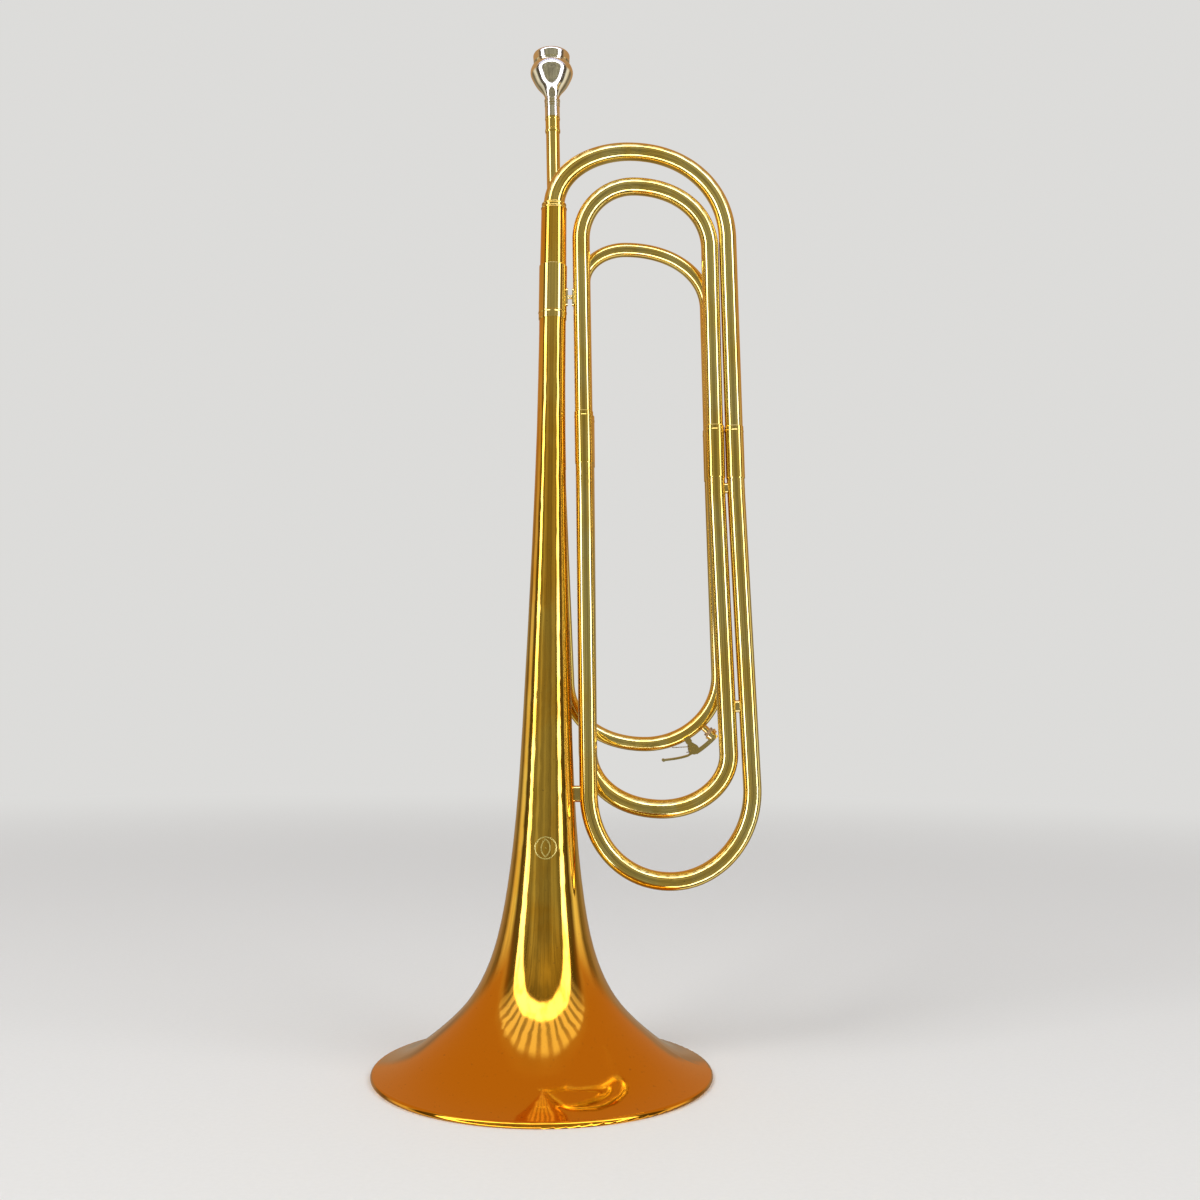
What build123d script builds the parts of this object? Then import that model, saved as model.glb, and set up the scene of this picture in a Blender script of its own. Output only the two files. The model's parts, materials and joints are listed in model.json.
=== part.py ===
from build123d import *
import math
import os

# Valveless bass bugle coiled in three loops, standing on its bell.
# Millimetres. The bell's axis is Z, the rim rests on z = 0, the loops lie towards +X and the
# mouthpiece is at the top. The front of the instrument faces -Y.

os.makedirs("parts", exist_ok=True)

# ---- driving dimensions ----
TUBE_WALL = 0.7
OUTER_LOOP_R = 6.7  # outside radius of the tube in the outer loop
MIDDLE_TOP_R = 6.65  # the middle loop is a little thicker below its ferrules
MIDDLE_BOTTOM_R = 6.95
INNER_LOOP_R = 5.4
LEADPIPE_R = 5.3
BRANCH_END_R = 8.2  # the outer top bow widens to this where it meets the bell tail
FERRULE_LENGTH = 40.0
FERRULE_WALL = 0.4

BELL_WALL = 0.8
BELL_RIM_R = 122.0  # outermost radius over the rolled rim
RIM_BEAD_R = 2.3
RIM_WIRE_R = 1.5
RIM_BEAD_Z = 2.1  # less than the bead's radius, so that the rim has a flat resting ring
BELL_NECK_R = 10.1
# The outside of the bell as (radius, height), from its neck to the top of the rolled rim.
BELL_OUTLINE = [
    (11.0, 460.0),
    (13.2, 380.0),
    (17.5, 267.0),
    (21.2, 194.0),
    (28.9, 122.0),
    (38.8, 80.0),
    (54.7, 50.0),
    (80.5, 25.0),
    (101.0, 11.0),
    (119.7, 4.4),
]
INNER_OUTLINE_POINTS = 40  # points that carry the bell's outline through to its inside face
TAIL_TOP_Z = 641.0
TAIL_TOP_R = 9.6
TAIL_R = 10.0
TAIL_BORE_R = 9.3
TAIL_STEP = 2.0  # the tail's bore narrows this far below the ring's skirt
RING_SKIRT_R = 8.95
RING_TOP_Z = 646.0
RING_SKIRT_Z = 634.0  # lower end of the skirt, which lines the tail
RING_LOWER_BEAD = (8.95, 642.0, 1.0)  # radius about the axis, height, and the bead's own radius
RING_UPPER_BEAD = (8.65, 645.2, 0.8)
BELL_FERRULE_TOP_Z = 597.0
BELL_FERRULE_BOTTOM_Z = 555.0
BELL_FERRULE_R = 10.6
BELL_FERRULE_RING_Z = 560.2  # middle of the raised ring near its lower end

MOUTHPIECE_TOP = Vector(-4.36, 17.45, 776.1)
MOUTHPIECE_HEIGHT = 52.3  # from the rim down to the receiver's mouth
RECEIVER_R = 5.9
RECEIVER_LENGTH = 12.0
SHANK_LENGTH = 24.0  # part of the mouthpiece that sits inside the receiver
SHANK_TOP_R = 4.45
SHANK_TIP_R = 3.95
SHANK_CLEARANCE = 0.03

# Centre lines of the straight legs: where the upper bend ends, the lower end of the ferrule, and
# where the lower bend starts. Each lower leg splays out a little from its ferrule.
OUTER_RIGHT = (Vector(132.9, 0, 620), Vector(139.0, 0, 434), Vector(151.1, 0, 206))
MIDDLE_RIGHT = (Vector(119.4, 0, 612), Vector(124.0, 0, 434.5), Vector(133.8, 0, 230))
INNER_RIGHT = (Vector(118.5, 15, 570), Vector(122.4, 15, 434.5), Vector(127.6, 15, 288))
OUTER_LEFT = (Vector(21.0, 0, 618), Vector(25.5, 0, 444.5), Vector(31.0, 0, 200))
MIDDLE_LEFT = (Vector(23.0, 15, 590), Vector(25.9, 15, 444.5), Vector(30.0, 15, 230))
LEAD_LEFT = (MOUTHPIECE_TOP, Vector(5.2, 25.5, 444.5), Vector(13.8, 29.0, 280))
BRANCH_END = Vector(0, 0, 636.0)  # end of the outer top bow, inside the ring on the bell tail
BRANCH_STRAIGHT = 8.0
KINK_LENGTH = 8.0  # the short curve below a ferrule, where the lower leg starts to splay

# Bends between the legs: the apex, and the direction in which the tube passes it from left to right.
OUTER_TOP_BEND = (Vector(58.0, 0, 688.4), Vector(1, 0, 0))
MIDDLE_TOP_BEND = (Vector(61.0, 0, 660.7), Vector(1, 0, 0))
INNER_TOP_BEND = (Vector(56.0, 15, 616.2), Vector(1, 0, 0))
OUTER_BOTTOM_BEND = (Vector(91.0, 0, 136.4), Vector(1, 0, 0))
MIDDLE_BOTTOM_BEND = (Vector(84.0, 6.5, 188.0), Vector(1, -0.16, 0))
INNER_BOTTOM_BEND = (Vector(72.0, 21.0, 235.2), Vector(1, -0.22, 0))
BEND_FULLNESS = 0.57  # 0.552 gives a quarter of an ellipse, more gives a squarer bend

# Water key, on the outside of the inner bottom bow. Its places are polar, about the bend's centre.
KEY_CENTRE = Vector(72.4, 15.3, 289.6)
KEY_BEND_R = 55.0
NIPPLE_ANGLE = -43.0
NIPPLE_R = 2.5
NIPPLE_TOP_R = 64.5  # radius of the nipple's mouth about the bend's centre
DRAIN_R = 1.4
CORK_R = 3.9
CORK_HEIGHT = 4.4
CORK_GAP = 0.02
CUP_R = 4.9
CUP_LIP = 1.0
CUP_DEPTH = 1.9  # how much of the cork sits inside the cup
CUP_ROOF = 1.0
CUP_BEAD = 0.4  # how far the cup's lip stands out
ARM_BOTTOM_R = 69.6
ARM_TOP_R = 72.8
ARM_END_ANGLE = -41.0
PIVOT_ANGLE = -57.6
PIVOT_RADIUS = 68.3
PIN_R = 1.2
PIN_CLEARANCE = 0.05
HUB_R = 2.9
HUB_Y = (12.7, 14.9)  # front and back faces
FRONT_EAR_Y = (10.9, 12.5)
BACK_EAR_Y = (18.1, 19.7)
EAR_R = 3.9
EAR_FOOT_R = 1.3
SADDLE_WIDTH = 4.4
SADDLE_BOTTOM_R = 57.5
SADDLE_TOP_R = 62.6
# The lever's flat shapes as (X, Z): the neck below the hub, and the line of the thumb plate.
LEVER_NECK = [(105.3, 226.6), (104.9, 228.0), (107.6, 231.4), (111.6, 230.2)]
THUMB_LINE = [(105.0, 227.2), (98.0, 225.3), (91.5, 224.2), (86.6, 223.6)]
THUMB_Y = (10.6, 19.4)
THUMB_THICKNESS = 1.5
THUMB_ROLL_R = 1.2
SCREW_HEAD_R = 2.6
SCREW_HEAD_HEIGHT = 1.2
SCREW_SLOT = 0.6
SCREW_SLOT_ANGLE = 35
SPRING_WIRE_R = 0.35
SPRING_COIL_R = 1.95
SPRING_Y = (15.35, 17.65)  # first and last turn
SPRING_WHOLE_TURNS = 2
# Ends of the spring's legs as (X, Z): one rests on the tube, the other points at the thumb plate.
TUBE_LEG_END = (93.0, 232.9)
THUMB_LEG_END = (103.9, 229.4)

# Braces.
BRACE_END_R = 2.4
BRACE_WAIST_R = 1.4
FOOT_HEIGHT = 0.8
FOOT_SINK = 1.2  # how far a foot reaches down round the tube that it stands on
SPACER_REACH = 3.0  # half the depth of a spacer before it is cut to fit between its tubes
FOOT_WIDTH = 5.0
# Heights of the braces from the bell to a leg, and the lengths of their feet.
UPPER_BRACE_Z = 573.0
UPPER_FOOT_LENGTH = 14.0
LEAD_BRACE_UPPER_Z = 572.0
LEAD_BRACE_LOWER_Z = 320.0
LEAD_FOOT_LENGTH = 13.0
BELL_R_AT_LOWER_BRACE = 15.3
# The spacers that don't lie midway between two straight legs.
BELL_STUD_MIDDLE = Vector(22.6, 0, 199)
INNER_SPACER_MIDDLE = Vector(30.4, 22.1, 247)


def save(piece, label):
    """Names a finished piece and writes it to its own file."""
    piece.part.label = label
    export_step(piece.part, f"parts/{label}.step")


def axial_plane(origin, direction):
    """A sketch plane through an axis: local X points away from the axis and local Y runs along it."""
    along = Vector(direction).normalized()
    outward = Vector(0, 1, 0).cross(along).normalized()
    return Plane(origin=origin, x_dir=outward, z_dir=outward.cross(along))


def leg_direction(leg):
    """Unit vector up a leg's ferrule, which lies in line with the leg above it."""
    return (leg[0] - leg[1]).normalized()


def ferrule_middle(leg):
    return leg[1] + leg_direction(leg) * (FERRULE_LENGTH / 2)


def key_point(angle, radius):
    """A point given by its angle and radius about the centre of the inner bottom bend."""
    turn = math.radians(angle)
    return KEY_CENTRE + Vector(math.cos(turn), 0, math.sin(turn)) * radius


# ---- centre lines ----
def quarter_turn(start, start_direction, end, end_direction):
    """A smooth quarter bend that leaves one point and reaches another along given directions."""
    span = end - start
    leave = start_direction.normalized()
    arrive = end_direction.normalized()
    first = start + leave * (BEND_FULLNESS * span.dot(leave))
    second = end - arrive * (BEND_FULLNESS * span.dot(arrive))
    Bezier(start, first, second, end)


def bend_over(start, start_direction, bend, end, end_direction):
    """Two quarter bends that meet at the apex."""
    apex, passing = bend
    quarter_turn(start, start_direction, apex, passing)
    quarter_turn(apex, passing, end, end_direction)


def top_path(left_leg, bend, right_leg):
    """Centre line of a top bow, from its left ferrule over the bend to its right ferrule."""
    left_up = leg_direction(left_leg)
    right_down = leg_direction(right_leg) * -1
    with BuildLine() as path:
        Line(ferrule_middle(left_leg), left_leg[0])
        bend_over(left_leg[0], left_up, bend, right_leg[0], right_down)
        Line(right_leg[0], ferrule_middle(right_leg))
    return path.line


def lower_leg(leg):
    """Points down a lower leg: the end of its small curve under the ferrule, and the leg's direction."""
    corner = leg[1] - leg_direction(leg) * KINK_LENGTH
    down = (leg[2] - corner).normalized()
    return corner + down * KINK_LENGTH, down


def bottom_path(left_leg, bend, right_leg):
    """Centre line of a bottom bow, down from its left ferrule, round the bend and up to its right."""
    left_start, left_down = lower_leg(left_leg)
    right_start, right_down = lower_leg(right_leg)
    with BuildLine() as path:
        Line(ferrule_middle(left_leg), left_leg[1])
        Spline(left_leg[1], left_start, tangents=(leg_direction(left_leg) * -1, left_down))
        Line(left_start, left_leg[2])
        bend_over(left_leg[2], left_down, bend, right_leg[2], right_down * -1)
        Line(right_leg[2], right_start)
        Spline(right_start, right_leg[1], tangents=(right_down * -1, leg_direction(right_leg)))
        Line(right_leg[1], ferrule_middle(right_leg))
    return path.line


MIDDLE_TOP_PATH = top_path(OUTER_LEFT, MIDDLE_TOP_BEND, MIDDLE_RIGHT)
INNER_TOP_PATH = top_path(MIDDLE_LEFT, INNER_TOP_BEND, INNER_RIGHT)
OUTER_BOTTOM_PATH = bottom_path(OUTER_LEFT, OUTER_BOTTOM_BEND, OUTER_RIGHT)
MIDDLE_BOTTOM_PATH = bottom_path(MIDDLE_LEFT, MIDDLE_BOTTOM_BEND, MIDDLE_RIGHT)
INNER_BOTTOM_PATH = bottom_path(LEAD_LEFT, INNER_BOTTOM_BEND, INNER_RIGHT)

# The outer top bow narrows from the bell tail up to its apex, then keeps its size.
with BuildLine() as branch_line:
    branch_top = BRANCH_END + Vector(0, 0, BRANCH_STRAIGHT)
    Line(BRANCH_END, branch_top)
    quarter_turn(branch_top, Vector(0, 0, 1), *OUTER_TOP_BEND)
BRANCH_PATH = branch_line.line
with BuildLine() as outer_line:
    down_outer_leg = leg_direction(OUTER_RIGHT) * -1
    quarter_turn(*OUTER_TOP_BEND, OUTER_RIGHT[0], down_outer_leg)
    Line(OUTER_RIGHT[0], ferrule_middle(OUTER_RIGHT))
OUTER_TOP_PATH = outer_line.line


# ---- tubes ----
def rod(path, start_radius, end_radius):
    """A solid round rod along a centre line, which may narrow evenly."""
    with BuildPart() as piece:
        with BuildSketch(Plane(origin=path @ 0, z_dir=path % 0)):
            Circle(start_radius)
        if end_radius != start_radius:
            with BuildSketch(Plane(origin=path @ 1, z_dir=path % 1)):
                Circle(end_radius)
        sweep(path=path, multisection=end_radius != start_radius)
    return piece.part


def straight_rod(start, end, radius):
    """A plain rod between two points."""
    with BuildPart() as piece:
        with BuildSketch(Plane(origin=start, z_dir=end - start)):
            Circle(radius)
        extrude(amount=(end - start).length)
    return piece.part


def flat_end(piece, point):
    """Outline of the flat face that is nearest to a point."""
    flats = piece.faces().filter_by(GeomType.PLANE)
    return flats.sort_by(lambda face: (face.center() - point).length)[0].outer_wire()


def tube(*stretches):
    """A tube through stretches of (centre line, start radius, end radius).

    It is made of the skins of its outer and bore rods, closed by a ring at each end."""
    faces = []
    pairs = []
    for path, start_radius, end_radius in stretches:
        outer = rod(path, start_radius, end_radius)
        bore = rod(path, start_radius - TUBE_WALL, end_radius - TUBE_WALL)
        faces += [face for face in outer.faces() if face.geom_type != GeomType.PLANE]
        faces += [-face for face in bore.faces() if face.geom_type != GeomType.PLANE]
        pairs.append((outer, bore))
    for (outer, bore), point in ((pairs[0], stretches[0][0] @ 0), (pairs[-1], stretches[-1][0] @ 1)):
        faces.append(Face(flat_end(outer, point), [flat_end(bore, point)]))
    return Solid(Shell(faces))


# ---- bows ----
BOWS = {
    "top_bow_outer": [
        (BRANCH_PATH, BRANCH_END_R, OUTER_LOOP_R),
        (OUTER_TOP_PATH, OUTER_LOOP_R, OUTER_LOOP_R),
    ],
    "top_bow_middle": [(MIDDLE_TOP_PATH, MIDDLE_TOP_R, MIDDLE_TOP_R)],
    "top_bow_inner": [(INNER_TOP_PATH, INNER_LOOP_R, INNER_LOOP_R)],
    "bottom_bow_outer": [(OUTER_BOTTOM_PATH, OUTER_LOOP_R, OUTER_LOOP_R)],
    "bottom_bow_middle": [(MIDDLE_BOTTOM_PATH, MIDDLE_BOTTOM_R, MIDDLE_BOTTOM_R)],
}
for bow_name, stretches in BOWS.items():
    with BuildPart() as bow:
        add(tube(*stretches))
    save(bow, bow_name)

# The inner bottom bow has a drain hole under the water key's nipple.
drain_start = key_point(NIPPLE_ANGLE, KEY_BEND_R)
drain_end = key_point(NIPPLE_ANGLE, NIPPLE_TOP_R + 1)
with BuildPart() as bottom_bow_inner:
    add(tube((INNER_BOTTOM_PATH, INNER_LOOP_R, INNER_LOOP_R)))
    add(straight_rod(drain_start, drain_end, DRAIN_R), mode=Mode.SUBTRACT)
save(bottom_bow_inner, "bottom_bow_inner")

# ---- leadpipe and receiver ----
lead_up = leg_direction(LEAD_LEFT)
receiver_mouth = MOUTHPIECE_TOP - lead_up * MOUTHPIECE_HEIGHT
leadpipe_top = receiver_mouth - lead_up * RECEIVER_LENGTH
lead_plane = axial_plane(receiver_mouth, lead_up)
lead_axis = Axis(receiver_mouth, lead_up)

with BuildPart() as leadpipe:
    with BuildSketch(Plane(origin=ferrule_middle(LEAD_LEFT), z_dir=lead_up)):
        Circle(LEADPIPE_R)
        Circle(LEADPIPE_R - TUBE_WALL, mode=Mode.SUBTRACT)
    extrude(amount=(leadpipe_top - ferrule_middle(LEAD_LEFT)).length)
save(leadpipe, "leadpipe")

spigot_r = LEADPIPE_R - TUBE_WALL
with BuildPart() as mouthpiece_receiver:
    with BuildSketch(lead_plane):
        with BuildLine():
            Polyline(
                (SHANK_TOP_R + SHANK_CLEARANCE, 0),
                (RECEIVER_R - 0.4, 0),
                (RECEIVER_R, -0.4),
                (RECEIVER_R, -1.6),
                (RECEIVER_R - 0.3, -2.0),
                (RECEIVER_R - 0.3, -RECEIVER_LENGTH + 3.0),
                (RECEIVER_R, -RECEIVER_LENGTH + 2.6),
                (RECEIVER_R + 0.1, -RECEIVER_LENGTH + 1.0),
                (RECEIVER_R - 0.2, -RECEIVER_LENGTH),
                (spigot_r, -RECEIVER_LENGTH),
                (spigot_r, -SHANK_LENGTH - 2.0),
                (SHANK_TIP_R + SHANK_CLEARANCE, -SHANK_LENGTH - 2.0),
                (SHANK_TIP_R + SHANK_CLEARANCE, -SHANK_LENGTH),
                close=True,
            )
        make_face()
    revolve(axis=lead_axis)
save(mouthpiece_receiver, "mouthpiece_receiver")

# ---- mouthpiece ----
# The outline is (radius, height above the receiver's mouth).
with BuildPart() as mouthpiece:
    with BuildSketch(lead_plane):
        with BuildLine():
            shank = Polyline(
                (3.5, -SHANK_LENGTH),
                (SHANK_TIP_R, -SHANK_LENGTH),
                (SHANK_TOP_R, 0),
                (5.8, 0.05),
                (5.8, 8.6),
                (5.3, 9.0),
                (6.0, 9.4),
                (6.0, 10.4),
                (5.3, 10.9),
                (6.0, 11.4),
                (6.0, 12.4),
                (5.3, 12.9),
                (6.2, 13.4),
                (6.2, 14.6),
                (5.5, 15.2),
            )
            bowl = Spline(
                shank @ 1,
                (6.4, 18.5),
                (11.1, 24.5),
                (15.2, 31.5),
                (16.7, 37.2),
                (15.3, 41.3),
                (13.4, 43.0),
                tangents=((0.1, 1), (-0.9, 0.45)),
            )
            band = Polyline(bowl @ 1, (13.1, 43.3), (13.1, 44.2), (14.1, 44.8), (14.3, 49.0))
            rim = ThreePointArc(band @ 1, (11.7, MOUTHPIECE_HEIGHT), (9.0, 49.4))
            cup = Spline(
                rim @ 1,
                (8.6, 42.0),
                (6.8, 34.0),
                (2.6, 27.0),
                tangents=((-0.1, -1), (-0.4, -1)),
            )
            Polyline(cup @ 1, (2.2, 25.5), (2.2, 21.0), (3.5, -SHANK_LENGTH))
        make_face()
    revolve(axis=lead_axis)
save(mouthpiece, "mouthpiece")


# ---- ferrules ----
def ferrule(leg, upper_r, lower_r):
    """Sleeve over the joint of two tubes, with a raised ring near its upper end."""
    outer_r = max(upper_r, lower_r) + FERRULE_WALL
    middle = FERRULE_LENGTH / 2
    outline = [
        (lower_r, 0),
        (outer_r - 0.25, 0),
        (outer_r, 0.5),
        (outer_r, FERRULE_LENGTH - 5.0),
        (outer_r + 0.15, FERRULE_LENGTH - 4.6),
        (outer_r + 0.15, FERRULE_LENGTH - 3.6),
        (outer_r, FERRULE_LENGTH - 3.2),
        (outer_r, FERRULE_LENGTH - 0.5),
        (outer_r - 0.25, FERRULE_LENGTH),
        (upper_r, FERRULE_LENGTH),
        (upper_r, middle),
    ]
    if lower_r != upper_r:
        outline.append((lower_r, middle))
    with BuildPart() as piece:
        with BuildSketch(axial_plane(leg[1], leg_direction(leg))):
            with BuildLine():
                Polyline(*outline, close=True)
            make_face()
        revolve(axis=Axis(leg[1], leg_direction(leg)))
    return piece


FERRULES = {
    "ferrule_right_outer": (OUTER_RIGHT, OUTER_LOOP_R, OUTER_LOOP_R),
    "ferrule_left_outer": (OUTER_LEFT, MIDDLE_TOP_R, OUTER_LOOP_R),
    "ferrule_right_middle": (MIDDLE_RIGHT, MIDDLE_TOP_R, MIDDLE_BOTTOM_R),
    "ferrule_left_middle": (MIDDLE_LEFT, INNER_LOOP_R, MIDDLE_BOTTOM_R),
    "ferrule_right_inner": (INNER_RIGHT, INNER_LOOP_R, INNER_LOOP_R),
    "ferrule_leadpipe": (LEAD_LEFT, LEADPIPE_R, INNER_LOOP_R),
}
for ferrule_name, (leg, above_r, below_r) in FERRULES.items():
    save(ferrule(leg, above_r, below_r), ferrule_name)

# ---- bell tail: ring, tail tube and ferrule ----
ring_height = RING_TOP_Z - RING_SKIRT_Z
with BuildPart() as bell_tail_ring:
    with BuildSketch(Plane.XZ):
        with Locations(((BRANCH_END_R + RING_SKIRT_R) / 2, RING_SKIRT_Z + ring_height / 2)):
            Rectangle(RING_SKIRT_R - BRANCH_END_R, ring_height)
        for bead_place, bead_z, bead_r in (RING_LOWER_BEAD, RING_UPPER_BEAD):
            with Locations((bead_place, bead_z)):
                Circle(bead_r)
        with Locations((BRANCH_END_R / 2, RING_SKIRT_Z + ring_height / 2)):
            Rectangle(BRANCH_END_R, 2 * ring_height, mode=Mode.SUBTRACT)
    revolve(axis=Axis.Z)
save(bell_tail_ring, "bell_tail_ring")

neck_top_z = (BELL_FERRULE_TOP_Z + BELL_FERRULE_BOTTOM_Z) / 2
with BuildPart() as bell_tail:
    with BuildSketch(Plane.XZ):
        with BuildLine():
            Polyline(
                (TAIL_TOP_R, TAIL_TOP_Z),
                (TAIL_R, BELL_FERRULE_TOP_Z),
                (TAIL_R, neck_top_z),
                (TAIL_BORE_R, neck_top_z),
                (TAIL_BORE_R, BELL_FERRULE_TOP_Z),
                (RING_SKIRT_R, RING_SKIRT_Z - TAIL_STEP),
                (RING_SKIRT_R, TAIL_TOP_Z),
                close=True,
            )
        make_face()
    revolve(axis=Axis.Z)
save(bell_tail, "bell_tail")

with BuildPart() as bell_ferrule:
    with BuildSketch(Plane.XZ):
        with BuildLine():
            Polyline(
                (BELL_NECK_R, BELL_FERRULE_BOTTOM_Z),
                (BELL_FERRULE_R - 0.2, BELL_FERRULE_BOTTOM_Z),
                (BELL_FERRULE_R, BELL_FERRULE_BOTTOM_Z + 0.4),
                (BELL_FERRULE_R, BELL_FERRULE_RING_Z - 0.8),
                (BELL_FERRULE_R + 0.3, BELL_FERRULE_RING_Z - 0.4),
                (BELL_FERRULE_R + 0.3, BELL_FERRULE_RING_Z + 0.4),
                (BELL_FERRULE_R, BELL_FERRULE_RING_Z + 0.8),
                (BELL_FERRULE_R, BELL_FERRULE_TOP_Z - 0.4),
                (BELL_FERRULE_R - 0.2, BELL_FERRULE_TOP_Z),
                (TAIL_R, BELL_FERRULE_TOP_Z),
                (TAIL_R, neck_top_z),
                (BELL_NECK_R, neck_top_z),
                close=True,
            )
        make_face()
    revolve(axis=Axis.Z)
save(bell_ferrule, "bell_ferrule")

# ---- bell and rim wire ----
def bell_flare():
    """The outside of the bell, from its ferrule down to the rolled rim."""
    start = (BELL_NECK_R, BELL_FERRULE_BOTTOM_Z)
    return Spline(start, *BELL_OUTLINE, tangents=((0, -1), (1, -0.25)))


bead_centre = (BELL_RIM_R - RIM_BEAD_R, RIM_BEAD_Z)
with BuildPart() as bell:
    with BuildSketch(Plane.XZ):
        with BuildLine():
            flare = bell_flare()
            neck = Line((BELL_NECK_R, neck_top_z), flare @ 0)
            inner_points = []
            for step in range(INNER_OUTLINE_POINTS + 1):
                share = step / INNER_OUTLINE_POINTS
                slope = flare % share
                inner_points.append(flare @ share + Vector(slope.Y, -slope.X) * BELL_WALL)
            inner_flare = Spline(*inner_points, tangents=((0, -1), (1, -0.25)))
            Polyline(inner_flare @ 0, (BELL_NECK_R - BELL_WALL, neck_top_z), neck @ 0)
            Line(flare @ 1, inner_flare @ 1)
        make_face()
        with Locations(bead_centre):
            Circle(RIM_BEAD_R)
            Circle(RIM_WIRE_R, mode=Mode.SUBTRACT)
        with Locations((BELL_RIM_R, -RIM_BEAD_R)):
            Rectangle(4 * RIM_BEAD_R, 2 * RIM_BEAD_R, mode=Mode.SUBTRACT)
    revolve(axis=Axis.Z)
save(bell, "bell")

with BuildPart() as bell_rim_wire:
    with BuildSketch(Plane.XZ):
        with Locations(bead_centre):
            Circle(RIM_WIRE_R)
    revolve(axis=Axis.Z)
save(bell_rim_wire, "bell_rim_wire")


# ---- braces ----
# Solid shapes of what the braces stand on. They trim the braces' feet.
with BuildPart(mode=Mode.PRIVATE) as bell_body:
    with BuildSketch(Plane.XZ):
        with BuildLine():
            flare = bell_flare()
            Polyline(flare @ 1, (0, RIM_BEAD_Z), (0, BELL_FERRULE_BOTTOM_Z), flare @ 0)
        make_face()
    revolve(axis=Axis.Z)
bell_ferrule_bottom = Vector(0, 0, BELL_FERRULE_BOTTOM_Z)
bell_ferrule_top = Vector(0, 0, BELL_FERRULE_TOP_Z)
bell_ferrule_body = straight_rod(bell_ferrule_bottom, bell_ferrule_top, BELL_FERRULE_R)
leadpipe_body = straight_rod(ferrule_middle(LEAD_LEFT), leadpipe_top, LEADPIPE_R)
middle_top_body = rod(MIDDLE_TOP_PATH, MIDDLE_TOP_R, MIDDLE_TOP_R)
inner_top_body = rod(INNER_TOP_PATH, INNER_LOOP_R, INNER_LOOP_R)
outer_bottom_body = rod(OUTER_BOTTOM_PATH, OUTER_LOOP_R, OUTER_LOOP_R)
middle_bottom_body = rod(MIDDLE_BOTTOM_PATH, MIDDLE_BOTTOM_R, MIDDLE_BOTTOM_R)
inner_bottom_body = rod(INNER_BOTTOM_PATH, INNER_LOOP_R, INNER_LOOP_R)


def brace(start, end, foot_length, bodies):
    """A turned post between two tubes, with an oval foot on each. Start and end lie on the tubes."""
    reach = end - start
    along = reach.normalized()
    start_plane = Plane(origin=start - along * FOOT_SINK, x_dir=(0, 0, 1), z_dir=along)
    end_plane = Plane(origin=end + along * FOOT_SINK, x_dir=(0, 0, 1), z_dir=along * -1)
    with BuildPart() as piece:
        with BuildSketch(start_plane, end_plane):
            SlotOverall(foot_length, FOOT_WIDTH)
        extrude(amount=FOOT_SINK + FOOT_HEIGHT)
        with BuildSketch(axial_plane(start, along)):
            with BuildLine():
                waist = ThreePointArc(
                    (BRACE_END_R, 0), (BRACE_WAIST_R, reach.length / 2), (BRACE_END_R, reach.length)
                )
                Polyline(waist @ 1, (0, reach.length), (0, 0), waist @ 0)
            make_face()
        revolve(axis=Axis(start, along))
        for body in bodies:
            add(body, mode=Mode.SUBTRACT)
    return piece


def spacer(middle, across, length, bodies):
    """An oval block soldered into the narrow gap between two tubes. The gap runs `across`."""
    with BuildPart() as piece:
        with BuildSketch(Plane(origin=middle, x_dir=(0, 0, 1), z_dir=across)):
            SlotOverall(length, FOOT_WIDTH)
        extrude(amount=SPACER_REACH, both=True)
        for body in bodies:
            add(body, mode=Mode.SUBTRACT)
    return piece


def leg_point(leg, height):
    """Where the centre line of a leg passes a height."""
    top, bottom = (leg[0], leg[1]) if height > leg[1].Z else (leg[1], leg[2])
    return bottom + (top - bottom) * ((height - bottom.Z) / (top.Z - bottom.Z))


def bell_to_leg(leg, height, bell_radius, leg_radius):
    """Ends of a brace from the bell to a leg, on both surfaces and on the line between their axes."""
    centre = leg_point(leg, height)
    outward = Vector(centre.X, centre.Y, 0).normalized()
    return Vector(0, 0, height) + outward * bell_radius, centre - outward * leg_radius


def midway(first_leg, second_leg, height):
    """The point halfway between two legs at a height."""
    return (leg_point(first_leg, height) + leg_point(second_leg, height)) / 2


SIDEWAYS = Vector(1, 0, 0)
BACKWARDS = Vector(0, 1, 0)
front_bodies = [outer_bottom_body, middle_bottom_body]
top_bodies = [middle_top_body, inner_top_body]

upper_brace_ends = bell_to_leg(OUTER_LEFT, UPPER_BRACE_Z, BELL_FERRULE_R, MIDDLE_TOP_R)
lead_upper_ends = bell_to_leg(LEAD_LEFT, LEAD_BRACE_UPPER_Z, BELL_FERRULE_R, LEADPIPE_R)
lead_lower_ends = bell_to_leg(LEAD_LEFT, LEAD_BRACE_LOWER_Z, BELL_R_AT_LOWER_BRACE, INNER_LOOP_R)
POSTS = {
    "upper_bell_brace": (upper_brace_ends, UPPER_FOOT_LENGTH, [bell_ferrule_body, middle_top_body]),
    "leadpipe_brace_upper": (lead_upper_ends, LEAD_FOOT_LENGTH, [bell_ferrule_body, leadpipe_body]),
    "leadpipe_brace_lower": (lead_lower_ends, LEAD_FOOT_LENGTH, [bell_body.part, inner_bottom_body]),
}
for post_name, ((post_start, post_end), foot_length, bodies) in POSTS.items():
    save(brace(post_start, post_end, foot_length, bodies), post_name)

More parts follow.
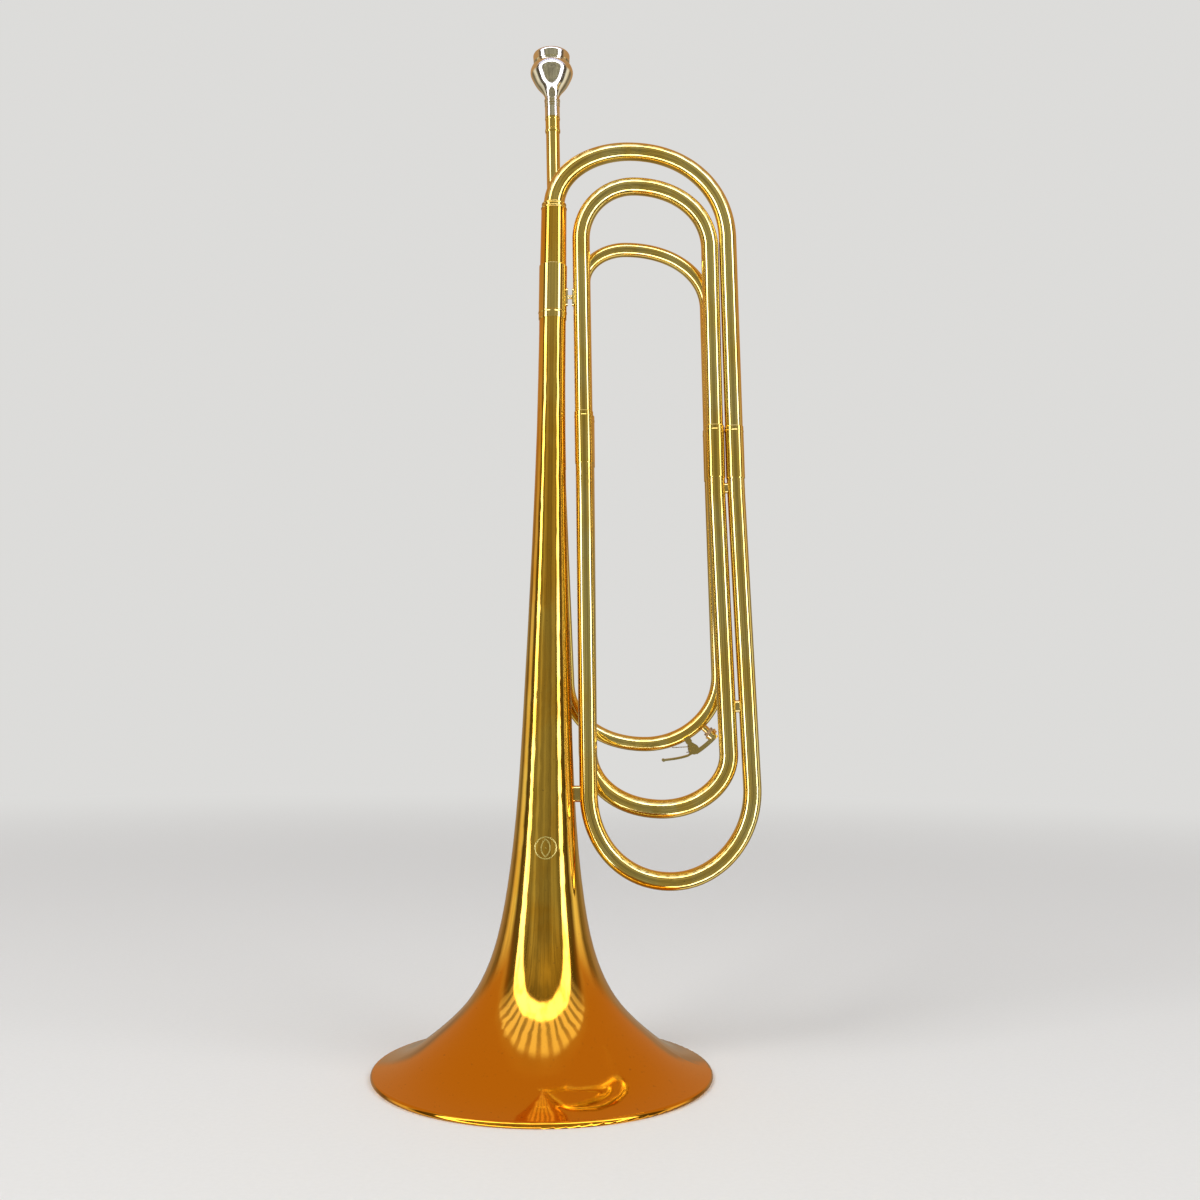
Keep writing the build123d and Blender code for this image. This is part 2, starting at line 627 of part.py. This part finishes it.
# Each spacer: its middle, the direction of the gap, its length, and the tubes that it joins.
SPACERS = {
    "lower_bell_brace": (BELL_STUD_MIDDLE, SIDEWAYS, 12, [bell_body.part, outer_bottom_body]),
    "right_spacer_upper": (midway(OUTER_RIGHT, MIDDLE_RIGHT, 427), SIDEWAYS, 8, front_bodies),
    "right_spacer_lower": (midway(OUTER_RIGHT, MIDDLE_RIGHT, 264), SIDEWAYS, 9, front_bodies),
    "top_bow_brace_left": (midway(OUTER_LEFT, MIDDLE_LEFT, 596), BACKWARDS, 14, top_bodies),
    "top_bow_brace_right": (midway(MIDDLE_RIGHT, INNER_RIGHT, 578), BACKWARDS, 12, top_bodies),
    "left_spacer": (midway(OUTER_LEFT, MIDDLE_LEFT, 300), BACKWARDS, 9, front_bodies),
    "inner_bottom_spacer": (INNER_SPACER_MIDDLE, BACKWARDS, 7, [middle_bottom_body, inner_bottom_body]),
}
for spacer_name, (middle, across, length, bodies) in SPACERS.items():
    save(spacer(middle, across, length, bodies), spacer_name)


# ---- water key ----
def radial_plane(angle, radius):
    """A sketch plane across a spoke of the inner bottom bend: local X runs along Y."""
    centre = key_point(angle, radius)
    return Plane(origin=centre, x_dir=(0, 1, 0), z_dir=centre - KEY_CENTRE)


def side_plane(front_y):
    """A sketch plane seen from the front: local X is X and local Y is Z."""
    return Plane(origin=(0, front_y, 0), x_dir=(1, 0, 0), z_dir=(0, -1, 0))


def flat_point(point):
    """The X and Z of a point, for a sketch on a side plane."""
    return (point.X, point.Z)


bend_centre = flat_point(KEY_CENTRE)
pivot = key_point(PIVOT_ANGLE, PIVOT_RADIUS)
pivot_spot = flat_point(pivot)

with BuildPart() as water_key_nipple:
    with BuildSketch(radial_plane(NIPPLE_ANGLE, KEY_BEND_R)):
        Circle(NIPPLE_R)
        Circle(DRAIN_R, mode=Mode.SUBTRACT)
    extrude(amount=NIPPLE_TOP_R - KEY_BEND_R)
    add(inner_bottom_body, mode=Mode.SUBTRACT)
save(water_key_nipple, "water_key_nipple")

cork_bottom_r = NIPPLE_TOP_R + CORK_GAP
cork_top_r = cork_bottom_r + CORK_HEIGHT
with BuildPart() as water_key_cork:
    with BuildSketch(radial_plane(NIPPLE_ANGLE, cork_bottom_r)):
        Circle(CORK_R)
    extrude(amount=CORK_HEIGHT)
save(water_key_cork, "water_key_cork")

with BuildPart() as water_key_lever:
    with BuildSketch(radial_plane(NIPPLE_ANGLE, cork_top_r - CUP_DEPTH)):
        Circle(CUP_R)
    extrude(amount=CUP_LIP)
    with BuildSketch(radial_plane(NIPPLE_ANGLE, cork_top_r - CUP_DEPTH)):
        Circle(CUP_R - CUP_BEAD)
    extrude(amount=CUP_DEPTH + CUP_ROOF)
    with BuildSketch(side_plane(HUB_Y[0])):
        with BuildLine():
            lower_arc = CenterArc(bend_centre, ARM_BOTTOM_R, PIVOT_ANGLE, ARM_END_ANGLE - PIVOT_ANGLE)
            upper_arc = CenterArc(bend_centre, ARM_TOP_R, PIVOT_ANGLE, ARM_END_ANGLE - PIVOT_ANGLE)
            Line(lower_arc @ 0, upper_arc @ 0)
            Line(lower_arc @ 1, upper_arc @ 1)
        make_face()
        with Locations(pivot_spot):
            Circle(HUB_R)
        with BuildLine():
            Polyline(*LEVER_NECK, close=True)
        make_face()
    extrude(amount=HUB_Y[0] - HUB_Y[1])
    with BuildSketch(side_plane(THUMB_Y[0])):
        with BuildLine():
            upper_line = Spline(*[(x, z + THUMB_THICKNESS / 2) for x, z in THUMB_LINE])
            lower_line = Spline(*[(x, z - THUMB_THICKNESS / 2) for x, z in THUMB_LINE])
            Line(upper_line @ 0, lower_line @ 0)
            Line(upper_line @ 1, lower_line @ 1)
        make_face()
        with Locations(THUMB_LINE[-1]):
            Circle(THUMB_ROLL_R)
    extrude(amount=THUMB_Y[0] - THUMB_Y[1])
    with BuildSketch(radial_plane(NIPPLE_ANGLE, cork_bottom_r)):
        Circle(CORK_R)
    extrude(amount=CORK_HEIGHT, mode=Mode.SUBTRACT)
    with BuildSketch(side_plane(HUB_Y[0])):
        with Locations(pivot_spot):
            Circle(PIN_R + PIN_CLEARANCE)
    extrude(amount=HUB_Y[0] - HUB_Y[1], mode=Mode.SUBTRACT)
save(water_key_lever, "water_key_lever")

saddle_middle = KEY_CENTRE.Y - (FRONT_EAR_Y[0] + BACK_EAR_Y[1]) / 2
with BuildPart() as water_key_saddle:
    for ear_y, hole_r in ((FRONT_EAR_Y, PIN_R + PIN_CLEARANCE), (BACK_EAR_Y, PIN_R)):
        with BuildSketch(side_plane(ear_y[0])):
            with Locations(pivot_spot):
                Circle(EAR_R)
            with Locations(flat_point(key_point(PIVOT_ANGLE, SADDLE_TOP_R))):
                Circle(EAR_FOOT_R)
            make_hull()
            with Locations(pivot_spot):
                Circle(hole_r, mode=Mode.SUBTRACT)
        extrude(amount=ear_y[0] - ear_y[1])
    with BuildSketch(radial_plane(PIVOT_ANGLE, SADDLE_BOTTOM_R)):
        with Locations((-saddle_middle, 0)):
            Rectangle(BACK_EAR_Y[1] - FRONT_EAR_Y[0], SADDLE_WIDTH)
    extrude(amount=SADDLE_TOP_R - SADDLE_BOTTOM_R)
    add(inner_bottom_body, mode=Mode.SUBTRACT)
save(water_key_saddle, "water_key_saddle")

head_front_y = FRONT_EAR_Y[0] - SCREW_HEAD_HEIGHT
with BuildPart() as water_key_pivot_screw:
    with BuildSketch(side_plane(FRONT_EAR_Y[0])):
        with Locations(pivot_spot):
            Circle(PIN_R)
    extrude(amount=FRONT_EAR_Y[0] - BACK_EAR_Y[1])
    with BuildSketch(side_plane(head_front_y)):
        with Locations(pivot_spot):
            Circle(SCREW_HEAD_R)
    extrude(amount=-SCREW_HEAD_HEIGHT)
    with BuildSketch(side_plane(head_front_y)):
        with Locations(Location(pivot_spot, SCREW_SLOT_ANGLE)):
            Rectangle(2 * SCREW_HEAD_R, SCREW_SLOT)
    extrude(amount=-SCREW_SLOT, mode=Mode.SUBTRACT)
save(water_key_pivot_screw, "water_key_pivot_screw")


# The spring's coil sits round the screw.
def coil_tangent(leg_end, side):
    """Angle in degrees at which a straight leg leaves the coil, on its upper (-1) or lower (1) side."""
    across = leg_end[0] - pivot.X
    up = leg_end[1] - pivot.Z
    lean = math.acos(SPRING_COIL_R / math.hypot(across, up))
    return math.degrees(math.atan2(up, across) + side * lean)


first_angle = coil_tangent(TUBE_LEG_END, -1)
last_angle = coil_tangent(THUMB_LEG_END, 1)
spring_turns = SPRING_WHOLE_TURNS + (first_angle - last_angle) / 360 % 1
spring_length = SPRING_Y[1] - SPRING_Y[0]
first_turn = math.radians(first_angle)
coil_plane = Plane(
    origin=(pivot.X, SPRING_Y[0], pivot.Z),
    x_dir=(math.cos(first_turn), 0, math.sin(first_turn)),
    z_dir=(0, 1, 0),
)
coil = coil_plane * Helix(spring_length / spring_turns, spring_length, SPRING_COIL_R)
tube_leg_end = Vector(TUBE_LEG_END[0], SPRING_Y[0], TUBE_LEG_END[1])
thumb_leg_end = Vector(THUMB_LEG_END[0], SPRING_Y[1], THUMB_LEG_END[1])
spring_legs = [
    straight_rod(tube_leg_end, coil @ 0, SPRING_WIRE_R),
    straight_rod(thumb_leg_end, coil @ 1, SPRING_WIRE_R),
]
with BuildPart() as water_key_spring:
    with BuildSketch(Plane(origin=coil @ 0, z_dir=coil % 0)):
        Circle(SPRING_WIRE_R)
    sweep(path=coil)
    add(spring_legs)
save(water_key_spring, "water_key_spring")
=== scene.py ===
"""Looks of the valveless bass bugle: lacquered brass, a silver mouthpiece, and a pale studio round it."""
import json
import math

import bmesh
import bpy
from mathutils import Matrix, Vector

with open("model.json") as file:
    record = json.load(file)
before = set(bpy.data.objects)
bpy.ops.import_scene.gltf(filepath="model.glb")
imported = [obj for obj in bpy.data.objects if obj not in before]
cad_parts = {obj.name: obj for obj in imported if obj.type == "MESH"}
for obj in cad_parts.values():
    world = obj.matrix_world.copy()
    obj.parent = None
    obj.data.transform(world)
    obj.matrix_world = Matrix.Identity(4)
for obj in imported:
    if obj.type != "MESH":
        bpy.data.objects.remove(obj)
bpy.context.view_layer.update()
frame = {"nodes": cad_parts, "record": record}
NODES = frame["nodes"]

bpy.context.scene.view_settings.view_transform = "Standard"


# ---- small helpers for shader trees ----
class Tree:
    """A node tree with short calls for the nodes that the materials below share."""

    def __init__(self, tree):
        self.tree = tree
        self.tree.nodes.clear()

    def node(self, kind, inputs=None, **settings):
        made = self.tree.nodes.new(kind)
        for name, value in settings.items():
            setattr(made, name, value)
        for name, value in (inputs or {}).items():
            self.feed(made.inputs[name], value)
        return made

    def feed(self, socket, value):
        """Links a socket to another one, or sets its plain value."""
        if isinstance(value, bpy.types.NodeSocket):
            self.tree.links.new(value, socket)
        else:
            socket.default_value = value

    def math(self, operation, first, second=0.0, third=0.0):
        inputs = {0: first, 1: second, 2: third}
        return self.node("ShaderNodeMath", inputs, operation=operation).outputs[0]

    def vector(self, operation, first, second=(0.0, 0.0, 0.0)):
        """A calculation with vectors. The node gives a vector, or a value where it measures a length."""
        return self.node("ShaderNodeVectorMath", {0: first, 1: second}, operation=operation)

    def stretched(self, where, scale):
        """Coordinates scaled by a vector, for patterns that run one way."""
        return self.vector("MULTIPLY", where, scale).outputs["Vector"]

    def length(self, where):
        return self.vector("LENGTH", where).outputs["Value"]

    def span(self, value, low, high, to_low=0.0, to_high=1.0):
        """A value's smooth step from one range to another."""
        inputs = {"Value": value, "From Min": low, "From Max": high, "To Min": to_low, "To Max": to_high}
        return self.node("ShaderNodeMapRange", inputs, interpolation_type="SMOOTHSTEP").outputs[0]

    def mix(self, share, first, second, blend="MIX"):
        """Two colours mixed. The sockets 0, 6 and 7 are the share and the two colours."""
        inputs = {0: share, 6: first, 7: second}
        return self.node("ShaderNodeMix", inputs, data_type="RGBA", blend_type=blend).outputs[2]

    def noise(self, where, scale, detail=3.0, roughness=0.5, distortion=0.0):
        inputs = {
            "Vector": where,
            "Scale": scale,
            "Detail": detail,
            "Roughness": roughness,
            "Distortion": distortion,
        }
        return self.node("ShaderNodeTexNoise", inputs).outputs["Fac"]

    def ramp(self, value, stops):
        """A colour ramp through (place, colour) stops. A plain number stands for a grey."""
        made = self.node("ShaderNodeValToRGB", {"Fac": value})
        elements = made.color_ramp.elements
        while len(elements) < len(stops):
            elements.new(0.5)
        for element, (place, colour) in zip(elements, stops):
            element.position = place
            element.color = rgba(colour)
        return made.outputs["Color"]

    def bump(self, height, strength, distance, under=None):
        """The normal of a surface with a height pattern, laid over the normal of another bump if given."""
        inputs = {"Strength": strength, "Distance": distance, "Height": height}
        if under is not None:
            inputs["Normal"] = under
        return self.node("ShaderNodeBump", inputs).outputs["Normal"]

    def principled(self, colour, roughness, others):
        """The principled shader, with its other inputs by name."""
        inputs = {"Base Color": colour, "Roughness": roughness, **others}
        return self.node("ShaderNodeBsdfPrincipled", inputs)

    def metal(self, colour, roughness, normal):
        return self.principled(colour, roughness, {"Metallic": 1.0, "Normal": normal})

    def surface(self, shader):
        """Makes a shader the material's surface."""
        self.node("ShaderNodeOutputMaterial", {"Surface": shader.outputs[0]})


def rgba(colour):
    if isinstance(colour, (int, float)):
        return (colour, colour, colour, 1.0)
    return (*colour, 1.0)


def new_material(name):
    """A material with an empty tree, the tree, and the piece's own coordinates in metres."""
    material = bpy.data.materials.new(name)
    material.use_nodes = True
    tree = Tree(material.node_tree)
    return material, tree, tree.node("ShaderNodeTexCoord").outputs["Object"]


# ---- metals ----
# A plain round mark on the front of the bell: a ring of this radius round a leaf. Each side of the leaf
# is an arc of the same radius, with its centre moved sideways.
MEDALLION_X = 0.001
MEDALLION_Z = 0.1622
MEDALLION_RADIUS = 0.0076
MEDALLION_LEAF = 0.0045
MEDALLION_LINE = 0.0006
MEDALLION_COLOUR = (0.98, 0.80, 0.22)
MEDALLION_ROUGHNESS = 0.35

# Painted reflection of a warm floor on the flare: the bell's brass turns orange from the first height and is
# fully orange at the second.
PAINTED_REFLECTION_HEIGHTS = (0.16, 0.02)
TARNISH_COLOUR = (0.30, 0.17, 0.05)
TARNISH_SHARE = 0.55
# How much the handling haze and the polishing marks add to the roughness of brass.
HAZE_ROUGHNESS = 0.05
POLISH_ROUGHNESS = 0.03


def medallion(tree, place):
    """How deep the plain round mark on the bell's front is cut, 0 to 1: a ring, a leaf outline and a dot."""
    parts = tree.node("ShaderNodeSeparateXYZ", {0: place})
    across = tree.math("SUBTRACT", parts.outputs["X"], MEDALLION_X)
    up = tree.math("SUBTRACT", parts.outputs["Z"], MEDALLION_Z)

    def distance_from(offset):
        spot = tree.node("ShaderNodeCombineXYZ", {"X": tree.math("ADD", across, offset), "Y": up})
        return tree.length(spot.outputs[0])

    def line(distance, radius):
        off = tree.math("ABSOLUTE", tree.math("SUBTRACT", distance, radius))
        return tree.span(off, MEDALLION_LINE, MEDALLION_LINE / 2)

    ring = line(distance_from(0.0), MEDALLION_RADIUS)
    leaf = tree.math("MAXIMUM", distance_from(MEDALLION_LEAF), distance_from(-MEDALLION_LEAF))
    leaf = line(leaf, MEDALLION_RADIUS)
    dot = line(distance_from(0.0), 0.0)
    front = tree.math("LESS_THAN", parts.outputs["Y"], 0.0)
    cut = tree.math("MAXIMUM", tree.math("MAXIMUM", ring, leaf), dot)
    return tree.math("MULTIPLY", cut, front)


def brass(name, face_colour, deep_colour, roughness, flare_painted_reflection=None):
    """Polished brass under clear lacquer: uneven tone, hairline polishing marks, handling haze."""
    material, tree, place = new_material(name)

    cloud = tree.noise(tree.stretched(place, (34.0, 34.0, 13.0)), 1.0, 4.0, 0.6, 0.4)
    colour = tree.mix(tree.span(cloud, 0.42, 0.62), rgba(face_colour), rgba(deep_colour))
    cut = 0.0
    if flare_painted_reflection:
        # Painted reflection: the flare is tinted orange towards its foot, as if it mirrored a warm floor.
        height = tree.node("ShaderNodeSeparateXYZ", {0: place}).outputs["Z"]
        colour = tree.mix(tree.span(height, *PAINTED_REFLECTION_HEIGHTS), colour, rgba(flare_painted_reflection))
        cut = medallion(tree, place)
        colour = tree.mix(cut, colour, rgba(MEDALLION_COLOUR))
    speck = tree.noise(place, 420.0, 2.0, 0.6)
    tarnish = tree.math("MULTIPLY", tree.span(speck, 0.66, 0.78), TARNISH_SHARE)
    colour = tree.mix(tarnish, colour, rgba(TARNISH_COLOUR))

    haze = tree.span(tree.noise(place, 14.0, 5.0, 0.6, 0.6), 0.45, 0.75)
    polish = tree.noise(tree.stretched(place, (900.0, 900.0, 40.0)), 1.0, 2.0, 0.5)
    rough = tree.math("MULTIPLY_ADD", haze, HAZE_ROUGHNESS, roughness)
    rough = tree.math("MULTIPLY_ADD", polish, POLISH_ROUGHNESS, rough)
    rough = tree.math("MULTIPLY_ADD", cut, MEDALLION_ROUGHNESS, rough)
    dents = tree.bump(tree.noise(place, 60.0, 3.0, 0.5), 0.03, 0.0004)
    hairlines = tree.bump(polish, 0.01, 0.0001, dents)
    tree.surface(tree.metal(colour, rough, hairlines))
    return material


def silver(name):
    """Silver plate: bright, faintly warm, with soft haze where lips and hands have been."""
    material, tree, place = new_material(name)
    cloud = tree.noise(place, 60.0, 4.0, 0.5, 0.3)
    colour = tree.mix(tree.span(cloud, 0.4, 0.7), rgba((0.86, 0.81, 0.60)), rgba((0.78, 0.70, 0.48)))
    rough = tree.math("MULTIPLY_ADD", tree.noise(place, 180.0, 3.0, 0.6), 0.12, 0.05)
    wear = tree.bump(tree.noise(place, 240.0, 2.0, 0.5), 0.05, 0.0003)
    tree.surface(tree.metal(colour, rough, wear))
    return material


def steel(name, colour, roughness):
    """Plain drawn wire, with a grain of darker specks."""
    material, tree, place = new_material(name)
    grain = tree.noise(place, 700.0, 2.0, 0.5)
    tone = tree.mix(grain, rgba(colour), rgba([channel * 0.75 for channel in colour]))
    rough = tree.math("MULTIPLY_ADD", grain, 0.15, roughness)
    tree.surface(tree.principled(tone, rough, {"Metallic": 1.0}))
    return material


def cork(name):
    """Natural cork: pale brown cells with darker lenticels."""
    material, tree, place = new_material(name)
    cells = tree.node("ShaderNodeTexVoronoi", {"Vector": place, "Scale": 1400.0}).outputs["Distance"]
    streak = tree.span(tree.noise(place, 500.0, 3.0, 0.6), 0.55, 0.7)
    colour = tree.mix(cells, rgba((0.36, 0.21, 0.10)), rgba((0.62, 0.43, 0.24)))
    colour = tree.mix(streak, colour, rgba((0.16, 0.08, 0.04)))
    relief = tree.bump(cells, 0.6, 0.0003)
    tree.surface(tree.principled(colour, 0.85, {"Normal": relief}))
    return material


MATERIALS = {
    # The bell's base colours are more orange than the tubes' partly as a painted reflection of warm
    # surroundings; its last colour is the flare's painted reflection.
    "bell_brass": brass("bell_brass", (0.90, 0.57, 0.08), (0.86, 0.46, 0.04), 0.05, (0.88, 0.38, 0.02)),
    "tube_brass": brass("tube_brass", (0.86, 0.70, 0.22), (0.86, 0.60, 0.12), 0.05),
    "ferrule_brass": brass("ferrule_brass", (0.90, 0.67, 0.17), (0.84, 0.58, 0.10), 0.05),
    "fitting_brass": brass("fitting_brass", (0.94, 0.78, 0.34), (0.88, 0.66, 0.20), 0.16),
    "mouthpiece_silver": silver("mouthpiece_silver"),
    "cork": cork("cork"),
    "spring_steel": steel("spring_steel", (0.55, 0.52, 0.46), 0.22),
    "rim_wire_steel": steel("rim_wire_steel", (0.42, 0.42, 0.42), 0.4),
}
for subpart in frame["record"]["subparts"]:
    piece = NODES[subpart["node"]]
    piece.data.materials.clear()
    piece.data.materials.append(MATERIALS[subpart["material_slot"]])


# ---- studio ----
# What the camera sees behind the object, and the grey light that falls on the floor and the cork.
BACKDROP = (0.72, 0.715, 0.70)
EVEN_LIGHT = 0.55
# What the metal mirrors, by degrees away from the camera: a room behind the camera, then, past the ring
# of light, a dark gap, a pale wall and a brown one.
ROOM = [
    (0, (0.12, 0.12, 0.11)),
    (3, (0.24, 0.23, 0.20)),
    (10, (0.46, 0.44, 0.38)),
    (20, (0.30, 0.28, 0.24)),
    (34, (0.52, 0.50, 0.42)),
    (48, (0.34, 0.32, 0.26)),
    (70, (0.15, 0.13, 0.10)),
    (84, (0.08, 0.06, 0.05)),
    (94, (1.00, 0.98, 0.96)),
    (106, (0.85, 0.76, 0.66)),
    (118, (0.20, 0.16, 0.11)),
    (140, (0.36, 0.30, 0.22)),
    (180, (0.40, 0.33, 0.24)),
]
# Folds of a curtain behind the camera, which fade out between these degrees.
FOLDS_FADE = (66, 52)
FOLDS_SHARE = 0.85
DIM_CORNERS_SHARE = 0.45
# The wall overhead, which the flare of the bell mirrors, comes in between these degrees.
OVERHEAD_FADE = (74, 96)
OVERHEAD_WALL = (0.52, 0.30, 0.14)
# The ring of light, in degrees.
RING_MIDDLE = 60
RING_HALF_WIDTH = 7
RING_GLOW = (4.4, 4.6, 6.8)
# A ceiling that reaches beyond the top of the ring, with this many ribs in a full turn. It comes in
# between the first degrees and ends between the second.
CEILING_START = (50, 62)
CEILING_END = (90, 87)
CEILING_GLOW = (1.1, 1.15, 1.9)
RIBS = 46


def studio_world():
    """Plain pale backdrop for the camera, even light for the floor, and a room for the metal to mirror."""
    world = bpy.data.worlds.new("studio")
    bpy.context.scene.world = world
    world.use_nodes = True
    tree = Tree(world.node_tree)
    # The direction as the camera sees it: X to its right, Y up, Z along its view.
    direction = tree.node("ShaderNodeTexCoord").outputs["Camera"]
    unit = tree.vector("NORMALIZE", direction).outputs["Vector"]
    parts = tree.node("ShaderNodeSeparateXYZ", {0: unit})
    right, up, along = parts.outputs["X"], parts.outputs["Y"], parts.outputs["Z"]
    away = tree.math("ARCCOSINE", tree.math("MULTIPLY", along, -1.0))
    roll = tree.math("ARCTAN2", up, right)
    rise = tree.math("SINE", roll)

    def fade(degrees):
        """Goes from 0 to 1 between two angles away from the camera."""
        return tree.span(away, math.radians(degrees[0]), math.radians(degrees[1]))

    stops = [(degrees / 180, colour) for degrees, colour in ROOM]
    room = tree.ramp(tree.math("DIVIDE", away, math.pi), stops)

    # The folds give the wide faces their upright streaks.
    fold = tree.noise(tree.stretched(unit, (30.0, 1.5, 0.0)), 1.0, 3.0, 0.6)
    folds = tree.ramp(fold, [(0.34, 0.35), (0.5, 0.85), (0.66, 1.0)])
    room = tree.mix(tree.math("MULTIPLY", fade(FOLDS_FADE), FOLDS_SHARE), room, folds, "MULTIPLY")
    corner = tree.ramp(tree.noise(unit, 3.2, 2.0, 0.5), [(0.38, 0.35), (0.55, 1.0)])
    room = tree.mix(DIM_CORNERS_SHARE, room, corner, "MULTIPLY")

    overhead = tree.math("MULTIPLY", fade(OVERHEAD_FADE), tree.span(rise, 0.04, 0.34))
    room = tree.mix(overhead, room, rgba(OVERHEAD_WALL))

    rib = tree.span(tree.math("SINE", tree.math("MULTIPLY", roll, RIBS)), -0.7, 0.2, 0.3, 1.0)
    ceiling = tree.math("MULTIPLY", fade(CEILING_END), rib)
    ceiling = tree.math("MULTIPLY", ceiling, tree.span(rise, 0.45, 0.8))
    ceiling = tree.math("MULTIPLY", ceiling, fade(CEILING_START))
    room = tree.mix(ceiling, room, rgba(CEILING_GLOW))

    ring_off = tree.math("ABSOLUTE", tree.math("SUBTRACT", away, math.radians(RING_MIDDLE)))
    edge = math.radians(RING_HALF_WIDTH)
    ring = tree.span(ring_off, edge * 1.25, edge * 0.75)
    patchy = tree.span(tree.noise(unit, 5.0, 3.0, 0.6), 0.36, 0.52, 0.45, 1.0)
    room = tree.mix(tree.math("MULTIPLY", ring, patchy), room, rgba(RING_GLOW))

    ray = tree.node("ShaderNodeLightPath")
    felt = tree.mix(ray.outputs["Is Glossy Ray"], rgba(EVEN_LIGHT), room)
    colour = tree.mix(ray.outputs["Is Camera Ray"], felt, rgba(BACKDROP))
    background = tree.node("ShaderNodeBackground", {"Color": colour, "Strength": 1.0})
    tree.node("ShaderNodeOutputWorld", {"Surface": background.outputs[0]})


studio_world()


def add_to_scene(name, data):
    """A new object that holds some data, in the scene."""
    holder = bpy.data.objects.new(name, data)
    bpy.context.scene.collection.objects.link(holder)
    return holder


LIGHT_TARGET = (0.04, 0.0, 0.35)


def area_light(name, place, size, power):
    """A soft square light that the metal doesn't mirror."""
    light = bpy.data.lights.new(name, "AREA")
    light.shape = "SQUARE"
    light.size = size
    light.energy = power
    holder = add_to_scene(name, light)
    holder.location = place
    holder.rotation_euler = (Vector(LIGHT_TARGET) - Vector(place)).to_track_quat("-Z", "Y").to_euler()
    holder.visible_glossy = False


area_light("key", place=(-1.3, -1.4, 2.1), size=1.2, power=30)
area_light("fill", place=(1.6, -1.0, 1.8), size=1.4, power=16)


FLOOR_RADIUS = 40.0
# The floor fades into the backdrop between these distances from the bell's axis.
FLOOR_FADE = (0.5, 3.2)


def pale_floor():
    """A wide plain floor that fades into the backdrop far away."""
    mesh = bpy.data.meshes.new("floor")
    shape = bmesh.new()
    bmesh.ops.create_circle(shape, cap_ends=True, radius=FLOOR_RADIUS, segments=96)
    shape.to_mesh(mesh)
    shape.free()
    floor = add_to_scene("floor", mesh)

    material, tree, place = new_material("pale_floor")
    grain = tree.noise(place, 300.0, 2.0, 0.5)
    pale = tree.mix(grain, rgba((0.78, 0.775, 0.76)), rgba((0.82, 0.815, 0.80)))
    near = tree.principled(pale, 0.7, {"Specular IOR Level": 0.15})
    far = tree.node("ShaderNodeEmission", {"Color": rgba(BACKDROP), "Strength": 1.0})
    seen = tree.node("ShaderNodeLightPath").outputs["Is Camera Ray"]
    fade = tree.math("MULTIPLY", tree.span(tree.length(place), *FLOOR_FADE), seen)
    both = tree.node("ShaderNodeMixShader", {0: fade, 1: near.outputs[0], 2: far.outputs[0]})
    tree.surface(both)
    mesh.materials.append(material)
    floor.visible_glossy = False


pale_floor()


CAMERA_LENS = 37.2
CAMERA_PLACE = (0.03807, -0.91855, 0.25789)
# In degrees: 90 looks level, and more looks up.
CAMERA_TILT = 95.2253
CAMERA_ROLL = 0.54


def camera():
    """Close to the floor in front of the instrument, tilted up a little."""
    lens = bpy.data.cameras.new("camera")
    lens.sensor_width = 36.0
    lens.lens = CAMERA_LENS
    lens.clip_start = 0.05
    lens.clip_end = 100.0
    holder = add_to_scene("camera", lens)
    tilt = Matrix.Rotation(math.radians(CAMERA_TILT), 4, "X")
    roll = Matrix.Rotation(math.radians(CAMERA_ROLL), 4, "Z")
    holder.matrix_world = Matrix.Translation(CAMERA_PLACE) @ tilt @ roll
    bpy.context.scene.camera = holder


camera()
